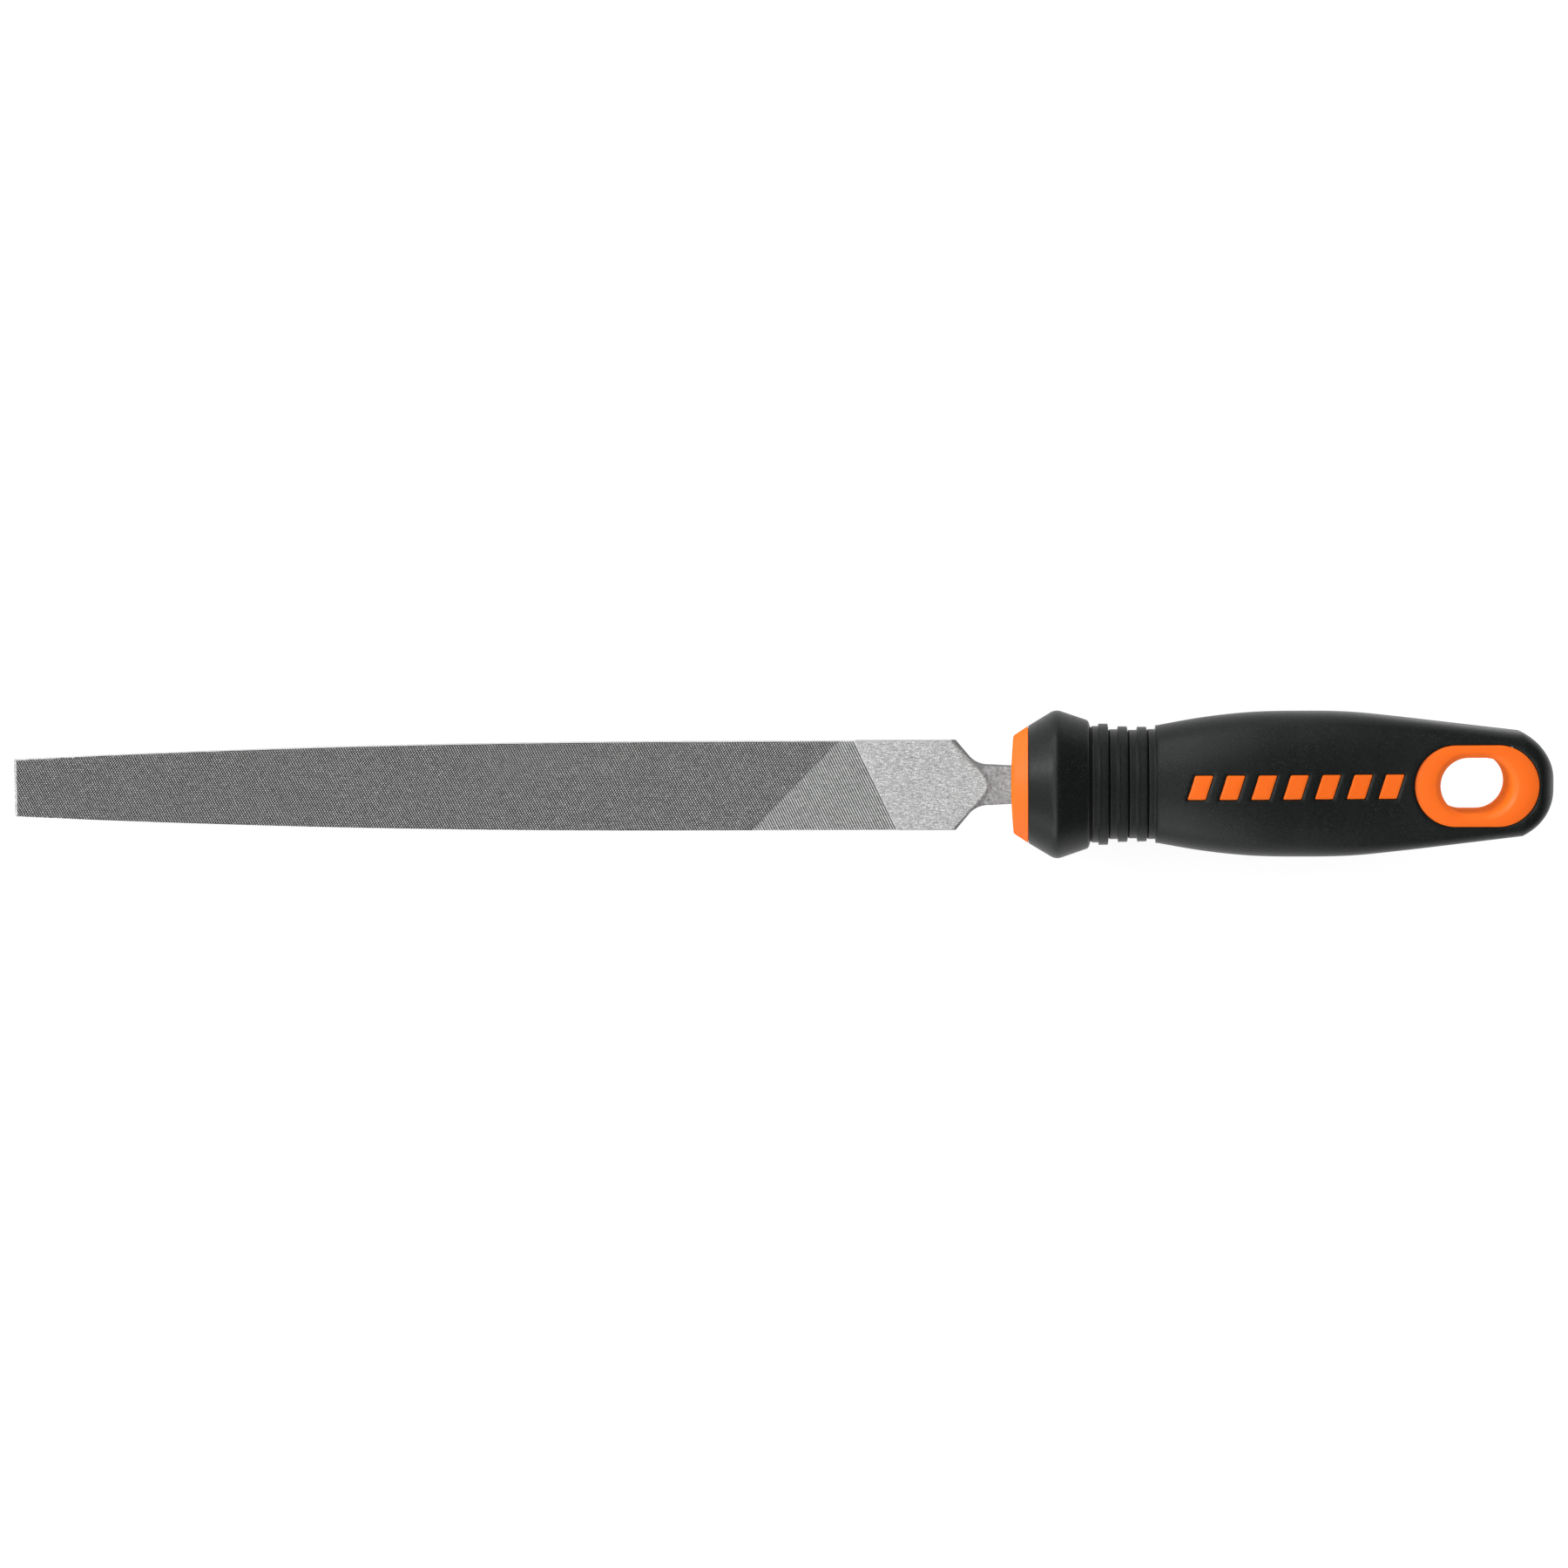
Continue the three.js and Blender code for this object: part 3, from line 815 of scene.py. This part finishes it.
def lower_lips(ring):
    """The soft sleeve rolls down slightly where it meets the eye and the bars."""
    x, y, z = ring.T
    eye = eye_distance(x, y)
    away = np.where(z > 0, np.minimum(eye, bar_distance(x, y)), eye)
    share = np.clip(1 - away / LIP_WIDTH, 0, 1)
    flat = np.abs(z) > 0.5 * EYE_HALF_THICKNESS
    return np.stack([x, y, z - np.where(flat, np.sign(z) * LIP_DROP * share**2, 0)], 1)


def rod_profile(grow):
    """The rod inside the sleeve, as the sleeve's outline that it follows."""
    start, end, radius = ANCHOR
    lip_end = SEAM + SEAM_LIP[0] + grow
    neck = [
        (SEAM - 0.3, 0),
        (SEAM - 0.3, SEAM_LIP[1]),
        (lip_end, SEAM_LIP[1]),
        (lip_end, CORE_NECK_RADIUS),
        (start - grow, CORE_NECK_RADIUS),
        (start - grow, radius),
        (end + grow, radius),
        (end + grow, CORE_NECK_RADIUS),
        (BELLY[0, 0], CORE_NECK_RADIUS),
    ]
    profile = [(x, radius + OVERMOULD) for x, radius in neck]
    profile += [(x, belly(x)[0]) for x in np.linspace(BELLY[0, 0], ROD_END, 40)[1:]]
    return [*profile, (ROD_END, OVERMOULD)]


def build_core(materials):
    face_corners = [
        (0, 0, 0),
        (0.12 * FACE_DOME, FACE_RADIUS * 0.35, 0),
        (0.5 * FACE_DOME, FACE_RADIUS * 0.7, 0),
        (FACE_DOME, FACE_RADIUS, 0.35),
        (SEAM, SEAM_RADIUS, 0.12),
        (SEAM, 0, 0),
    ]
    cone = rounded(face_corners)
    core = loft("core_plastic", [cone[0], *filled(cone[1:-1], 0.6), cone[-1]], 0, CORE_SEGMENTS, materials)
    combine(core, loft("rod", rod_profile(0), OVERMOULD, ROD_SEGMENTS, materials), "UNION")
    combine(core, eye_boss(materials), "UNION")
    for i in range(BAR_COUNT):
        combine(core, mark_bar(BAR_FIRST + i * BAR_PITCH, materials), "UNION")
    combine(core, punch("hole", racetrack(HOLE_SIZE), -PUNCH_TOP, materials), "DIFFERENCE")
    combine(core, tang_socket(materials), "DIFFERENCE")
    smooth(core, HANDLE_SHARP_ANGLE)
    return core


def tang_socket(materials):
    """The tapered hole that the tang is pressed into."""
    grow = PIECE_GAP
    rings = []
    for x in (FACE - 5, FACE + 10, TANG_END + grow):
        width = float(blade_half_width(x)) + grow
        height = tang_half_thickness(x) + grow
        rings.append([(x, -width, -height), (x, width, -height), (x, width, height), (x, -width, height)])
    return ringed("socket", rings, materials)


def build_sleeve(materials):
    sleeve = loft("grip_rubber", grip_profile(), 0, SLEEVE_SEGMENTS, materials, lower_lips)
    rod = loft("rod_space", rod_profile(PIECE_GAP), OVERMOULD - PIECE_GAP, ROD_SEGMENTS, materials)
    combine(sleeve, rod, "DIFFERENCE")
    window = racetrack(EYE_SIZE, PIECE_GAP)
    combine(sleeve, punch("window", window, -PUNCH_TOP, materials), "DIFFERENCE")
    for i in range(BAR_COUNT):
        outline = bar_outline(BAR_FIRST + i * BAR_PITCH, PIECE_GAP)
        combine(sleeve, punch("bar_space", outline, BAR_SPACE_BOTTOM, materials), "DIFFERENCE")
    clean(sleeve, SLEEVE_MERGE)
    smooth(sleeve, HANDLE_SHARP_ANGLE)
    return sleeve


# ---- Materials ----


def new_material(name):
    """A material, its surface shader, and the graph that wires it."""
    material = bpy.data.materials.new(name)
    material.use_nodes = True
    nodes = material.node_tree.nodes
    nodes.clear()
    output = nodes.new("ShaderNodeOutputMaterial")
    surface = nodes.new("ShaderNodeBsdfPrincipled")
    material.node_tree.links.new(surface.outputs["BSDF"], output.inputs["Surface"])
    return material, surface, Graph(material)


def grey(value):
    return (value, value, value)


class Graph:
    """Short names for wiring a material's nodes. Noise scales are in lumps to a metre."""

    def __init__(self, owner):
        self.nodes = owner.node_tree.nodes
        self.links = owner.node_tree.links
        coordinates = self.nodes.new("ShaderNodeTexCoord")
        self.place = coordinates.outputs["Object"]
        self.direction = coordinates.outputs["Generated"]

    def stretched(self, scale):
        mapping = self.nodes.new("ShaderNodeMapping")
        mapping.inputs["Scale"].default_value = scale
        self.links.new(self.place, mapping.inputs["Vector"])
        return mapping.outputs["Vector"]

    def noise(self, scale, detail=4.0, roughness=0.55, vector=None):
        texture = self.nodes.new("ShaderNodeTexNoise")
        texture.inputs["Scale"].default_value = scale
        texture.inputs["Detail"].default_value = detail
        texture.inputs["Roughness"].default_value = roughness
        self.links.new(vector if vector is not None else self.place, texture.inputs["Vector"])
        return texture.outputs["Fac"]

    def upward(self):
        """How far the surface faces up or down the tool's thickness, from 0 to 1."""
        geometry = self.nodes.new("ShaderNodeNewGeometry")
        turned = self.nodes.new("ShaderNodeVectorTransform")
        turned.vector_type = "NORMAL"
        turned.convert_from = "WORLD"
        turned.convert_to = "OBJECT"
        self.links.new(geometry.outputs["Normal"], turned.inputs["Vector"])
        parts = self.nodes.new("ShaderNodeSeparateXYZ")
        self.links.new(turned.outputs["Vector"], parts.inputs["Vector"])
        return self.joined("ABSOLUTE", parts.outputs["Z"])

    def joined(self, operation, first, second=0.0):
        """A sum or other operation on two values, each a node's output or a number."""
        node = self.nodes.new("ShaderNodeMath")
        node.operation = operation
        for socket, value in zip(node.inputs, (first, second)):
            if isinstance(value, float):
                socket.default_value = value
            else:
                self.links.new(value, socket)
        return node.outputs[0]

    def seen_by(self, ray):
        """1 where a ray of this kind arrives, else 0."""
        return self.nodes.new("ShaderNodeLightPath").outputs[ray]

    def attribute(self, name):
        node = self.nodes.new("ShaderNodeAttribute")
        node.attribute_name = name
        return node.outputs["Fac"]

    def ramp(self, value, low, high, start=0, end=1, curve="LINEAR"):
        """value between low and high becomes start to end."""
        node = self.nodes.new("ShaderNodeMapRange")
        node.interpolation_type = curve
        node.inputs["From Min"].default_value = low
        node.inputs["From Max"].default_value = high
        node.inputs["To Min"].default_value = start
        node.inputs["To Max"].default_value = end
        self.links.new(value, node.inputs["Value"])
        return node.outputs["Result"]

    def fade(self, value, none, full, strength=1.0):
        """Grows smoothly from 0 to strength as value goes from none to full."""
        return self.ramp(value, none, full, 0, strength, "SMOOTHSTEP")

    def mix(self, factor, first, second):
        node = self.nodes.new("ShaderNodeMix")
        node.data_type = "RGBA"
        self.links.new(factor, node.inputs["Factor"])
        for socket, colour in ((node.inputs["A"], first), (node.inputs["B"], second)):
            if isinstance(colour, tuple):
                socket.default_value = (*colour, 1.0)
            else:
                self.links.new(colour, socket)
        return node.outputs["Result"]

    def bump(self, height, strength, distance_mm, onto=None):
        node = self.nodes.new("ShaderNodeBump")
        node.inputs["Strength"].default_value = strength
        node.inputs["Distance"].default_value = distance_mm * MM
        self.links.new(height, node.inputs["Height"])
        if onto is not None:
            self.links.new(onto, node.inputs["Normal"])
        return node.outputs["Normal"]

    def set(self, surface, **inputs):
        for name, value in inputs.items():
            socket = surface.inputs[name.replace("_", " ")]
            if hasattr(value, "is_linked"):
                self.links.new(value, socket)
            elif isinstance(value, tuple):
                socket.default_value = (*value, 1.0)
            else:
                socket.default_value = value


def cut_steel():
    """Hardened steel between file teeth: bright ground crests, and grooves darkened with their depth: painted
    shade, with a little oil and dust.
    """
    material, surface, graph = new_material("cut_steel")
    dull, bright, worn, groove = grey(0.52), grey(1.0), grey(0.6), grey(0.02)
    grain = graph.noise(1.0, 3, 0.6, graph.stretched((700, 5000, 5000)))
    patches = graph.noise(90, 3)
    fine = graph.noise(2500, 2)
    depth = graph.attribute("groove_depth")
    crest = graph.mix(graph.ramp(grain, 0.35, 0.65), dull, bright)
    crest = graph.mix(graph.ramp(patches, 0.3, 0.7, 0, 0.2), crest, worn)
    graph.set(
        surface,
        # Colour darkens with groove depth: painted shade in the grooves, together with a little oil.
        Base_Color=graph.mix(graph.ramp(depth, 0.35, 0.8), crest, groove),
        Metallic=0.45,
        Roughness=graph.ramp(fine, 0.3, 0.7, 0.3, 0.45),
        Normal=graph.bump(fine, 0.25, 0.02),
    )
    return material


def bare_steel():
    """The heel and the tang. The heel is ground along its length, with short fine scratches and faint pits.
    Past the ground flat's ragged end it is forged: scaled and cleaned off unevenly, and darker where it faces
    away from up: the scale's tone, with painted shade on the side walls.
    """
    material, surface, graph = new_material("bare_steel")
    grain = graph.noise(1.0, 3, 0.6, graph.stretched((800, 9500, 9500)))
    speckle = graph.noise(4300, 2)
    pits = graph.noise(2600, 2)
    ground = graph.mix(graph.ramp(grain, 0.35, 0.6), grey(0.24), grey(0.8))
    ground = graph.mix(graph.ramp(speckle, 0.42, 0.62, 0.7, 0), ground, grey(0.20))
    ground = graph.mix(graph.ramp(pits, 0.68, 0.74, 0, 0.7), ground, grey(0.08))
    scale = graph.noise(1800, 5, 0.7)
    broad = graph.noise(500, 3)
    forged = graph.mix(graph.ramp(scale, 0.35, 0.65), grey(0.13), grey(0.42))
    forged = graph.mix(graph.ramp(broad, 0.35, 0.65, 0, 0.5), forged, grey(0.24))
    # Darker where the surface faces away from up: painted shade on the side walls, on top of the scale's own
    # dark tone.
    forged = graph.mix(graph.ramp(graph.upward(), 0.35, 0.85, 1, 0), forged, grey(0.09))
    ragged = graph.ramp(pits, 0.3, 0.7, -0.25, 0.25)
    share = graph.ramp(graph.joined("ADD", graph.attribute("past_flat"), ragged), -0.06, 0.06)
    graph.set(
        surface,
        Base_Color=graph.mix(share, ground, forged),
        Metallic=0.38,
        Roughness=graph.ramp(broad, 0.3, 0.7, 0.38, 0.54),
        Normal=graph.bump(graph.mix(share, grain, scale), 0.55, 0.04),
    )
    return material


def orange_plastic():
    """Hard moulded polypropylene: even colour, satin gloss, faint flow marks, duller on the mould's side
    walls. Light that bounces off it onto its neighbours is kept nearly neutral.
    """
    material, surface, graph = new_material("orange_plastic")
    deep, light, onward = (0.86, 0.135, 0.005), (0.89, 0.148, 0.007), (0.85, 0.75, 0.72)
    flow = graph.noise(60, 3)
    skin = graph.noise(2500, 2)
    upward = graph.upward()
    gloss = graph.ramp(flow, 0.3, 0.7, 0.36, 0.44)
    dullness = graph.ramp(upward, 0.2, 0.7, 0.4, 0)
    colour = graph.mix(graph.ramp(flow, 0.3, 0.7), deep, light)
    bounced = graph.joined("ADD", graph.seen_by("Is Diffuse Ray"), graph.seen_by("Is Glossy Ray"))
    graph.set(
        surface,
        Base_Color=graph.mix(bounced, colour, onward),
        Roughness=graph.joined("ADD", gloss, dullness),
        Specular_IOR_Level=graph.ramp(upward, 0.1, 0.4, 0.02, 0.25),
        Subsurface_Weight=0.15,
        Subsurface_Scale=0.002,
        Normal=graph.bump(skin, 0.08, 0.01),
    )
    surface.inputs["Subsurface Radius"].default_value = (1.0, 0.3, 0.08)
    return material


def black_rubber():
    """Soft thermoplastic rubber: near black with a cool cast, satin, pebbled with painted shade in the
    pebbles' hollows, with specks and scuffs.
    """
    material, surface, graph = new_material("black_rubber")
    shaded_hollow, top = (0.0024, 0.0034, 0.0031), (0.0070, 0.0084, 0.0080)
    dust, haze = (0.045, 0.048, 0.047), (0.0070, 0.0080, 0.0077)
    pebble = graph.noise(4200, 3)
    cloud = graph.noise(150, 4)
    scuff = graph.noise(1.0, 3, 0.6, graph.stretched((900, 150, 900)))
    speck = graph.noise(5200, 1)
    # Darker in the pebbles' hollows, lighter on their tops: painted shade.
    colour = graph.mix(graph.ramp(pebble, 0.35, 0.65), shaded_hollow, top)
    colour = graph.mix(graph.ramp(speck, 0.62, 0.70, 0, 0.8), colour, dust)
    graph.set(
        surface,
        Base_Color=graph.mix(graph.ramp(cloud, 0.35, 0.65, 0, 0.6), colour, haze),
        Roughness=graph.ramp(scuff, 0.35, 0.7, 0.36, 0.30),
        Specular_IOR_Level=0.2,
        Normal=graph.bump(pebble, 0.6, 0.04),
    )
    return material


def floor_paint():
    """Plain pale light table: a white sheet that glows a little, with the faintest unevenness."""
    material, surface, graph = new_material("floor_paint")
    cloud = graph.noise(3, 2)
    graph.set(
        surface,
        Base_Color=graph.mix(graph.ramp(cloud, 0.3, 0.7), grey(0.24), grey(0.26)),
        Roughness=0.9,
        Specular_IOR_Level=0.1,
        Emission_Color=grey(1.0),
        Emission_Strength=graph.ramp(graph.seen_by("Is Glossy Ray"), 0, 1, FLOOR_GLOW, FLOOR_MIRRORED),
    )
    return material


# ---- Stage ----

EVEN_LIGHT = 0.7
KEY_LIGHT = 1.4
KEY_AZIMUTH = math.radians(160)  # 0 is +X and 90 is +Y
KEY_SUN = 1.1
SUN_AZIMUTH = math.radians(150)
SUN_ELEVATION = math.radians(30)
SUN_SPREAD = math.radians(25)
OVERHEAD = 2.0
TIP_PANEL = 0.6
FLANK_PANELS = 3.0
TAIL_PANEL = 0.5
ROOM = 0.13
FLOOR_GLOW = 0.84
FLOOR_MIRRORED = 0.65  # how bright the floor is in shiny surfaces

CAMERA_DISTANCE = 837.0
CAMERA_LEAN = math.radians(4.2)
CAMERA_ROLL = math.radians(-0.45)
CAMERA_AIM = (2.0, 0.27, 0.0)
VIEW_WIDTH = 335.3
FLOOR_REACH = 60000.0
FLOOR_CLEARANCE = 0.05


def build_floor():
    """A level sheet under the tool as it lies: on the blade's tip and the collar's crest."""
    near, far = -FLOOR_REACH, FLOOR_REACH
    points = []
    for x, y in ((near, near), (far, near), (far, far), (near, far)):
        points.append((x, y, -TIP_HALF_THICKNESS - FLOOR_CLEARANCE - resting_tilt() * (x - TIP)))
    make_piece("floor", points, [(0, 1, 2, 3)], [floor_paint()])


def build_sun():
    """A broad soft light far away."""
    data = bpy.data.lights.new("key_softbox", "SUN")
    data.energy = KEY_SUN
    data.angle = SUN_SPREAD
    light = bpy.data.objects.new("key_softbox", data)
    level_reach = math.cos(SUN_ELEVATION)
    towards = Vector((
        math.cos(SUN_AZIMUTH) * level_reach,
        math.sin(SUN_AZIMUTH) * level_reach,
        math.sin(SUN_ELEVATION),
    ))
    light.rotation_euler = towards.to_track_quat("Z", "Y").to_euler()
    bpy.context.scene.collection.objects.link(light)


def build_world():
    """Studio surroundings. Dull surfaces get an even white light that is stronger from the key side. Shiny
    ones mirror a light tent over the tip's half, brighter overhead and at its flanks, a low panel beyond the
    tail, and a dim room. The camera sees plain white.
    """
    world = bpy.data.worlds.new("studio")
    bpy.context.scene.world = world
    world.use_nodes = True
    world.node_tree.nodes.clear()
    graph = Graph(world)
    nodes, links = graph.nodes, graph.links
    parts = nodes.new("ShaderNodeSeparateXYZ")
    links.new(graph.direction, parts.inputs["Vector"])
    x, y, z = parts.outputs
    fade, joined = graph.fade, graph.joined

    def white(strength):
        node = nodes.new("ShaderNodeBackground")
        graph.set(node, Color=(1, 1, 1), Strength=strength)
        return node.outputs["Background"]

    towards_tip = fade(x, -0.02, -0.14)
    tent = joined("MULTIPLY", towards_tip, joined("ADD", fade(z, 0.4, 0.95, OVERHEAD), TIP_PANEL))
    flanks = joined("MULTIPLY", towards_tip, fade(joined("ABSOLUTE", y), 0.35, 0.8, FLANK_PANELS))
    far_corners = joined("MULTIPLY", fade(x, -0.3, -0.55), fade(z, 0.15, 0.35))
    flanks = joined("MULTIPLY", flanks, joined("SUBTRACT", 1.0, far_corners))
    low = fade(joined("ABSOLUTE", z), 0.45, 0.15)
    tail_panel = joined("MULTIPLY", fade(x, 0.6, 0.95, TAIL_PANEL), low)
    total = ROOM
    for light in (tent, flanks, tail_panel):
        total = joined("ADD", light, total)

    key_x = joined("MULTIPLY", x, math.cos(KEY_AZIMUTH))
    key_y = joined("MULTIPLY", y, math.sin(KEY_AZIMUTH))
    key = fade(joined("ADD", key_x, key_y), 0.2, 0.8, KEY_LIGHT)
    surface = white(joined("ADD", key, EVEN_LIGHT))
    for ray, strength in (("Is Glossy Ray", total), ("Is Camera Ray", 1.0)):
        mix = nodes.new("ShaderNodeMixShader")
        links.new(graph.seen_by(ray), mix.inputs["Fac"])
        links.new(surface, mix.inputs[1])
        links.new(white(strength), mix.inputs[2])
        surface = mix.outputs["Shader"]
    output = nodes.new("ShaderNodeOutputWorld")
    links.new(surface, output.inputs["Surface"])


def resting_tilt():
    """Slope of the table under the tool: it lies on the blade's tip and on the collar's crest."""
    crest_place = FACE + CREST[0]
    return (SLEEVE_HIGH[2] - TIP_HALF_THICKNESS) / (crest_place - TIP)


def build_camera():
    """Above the table, a little towards +Y, and turned so that the handle's end is higher in the picture."""
    data = bpy.data.cameras.new("camera")
    data.sensor_width = 36.0
    data.lens = data.sensor_width * CAMERA_DISTANCE / VIEW_WIDTH
    data.clip_end = 100.0
    camera = bpy.data.objects.new("camera", data)
    towards = Vector((resting_tilt(), math.tan(CAMERA_LEAN), 1.0)).normalized()
    right = Vector((0.0, 1.0, 0.0)).cross(towards).normalized()
    facing = Matrix((right, towards.cross(right), towards)).transposed().to_4x4()
    spot = Matrix.Translation((Vector(CAMERA_AIM) + towards * CAMERA_DISTANCE) * MM)
    camera.matrix_world = spot @ facing @ Matrix.Rotation(CAMERA_ROLL, 4, "Z")
    bpy.context.scene.collection.objects.link(camera)
    bpy.context.scene.camera = camera


# ---- Assembly ----


def assign(piece, node):
    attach(piece, BODY)
    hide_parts(node)


assign(build_blade([cut_steel(), bare_steel()]), "file_blade")
assign(build_core([orange_plastic()]), "handle_core")
assign(build_sleeve([black_rubber()]), "grip_sleeve")

build_floor()
build_world()
build_sun()
build_camera()

bpy.context.scene.view_settings.view_transform = "Standard"
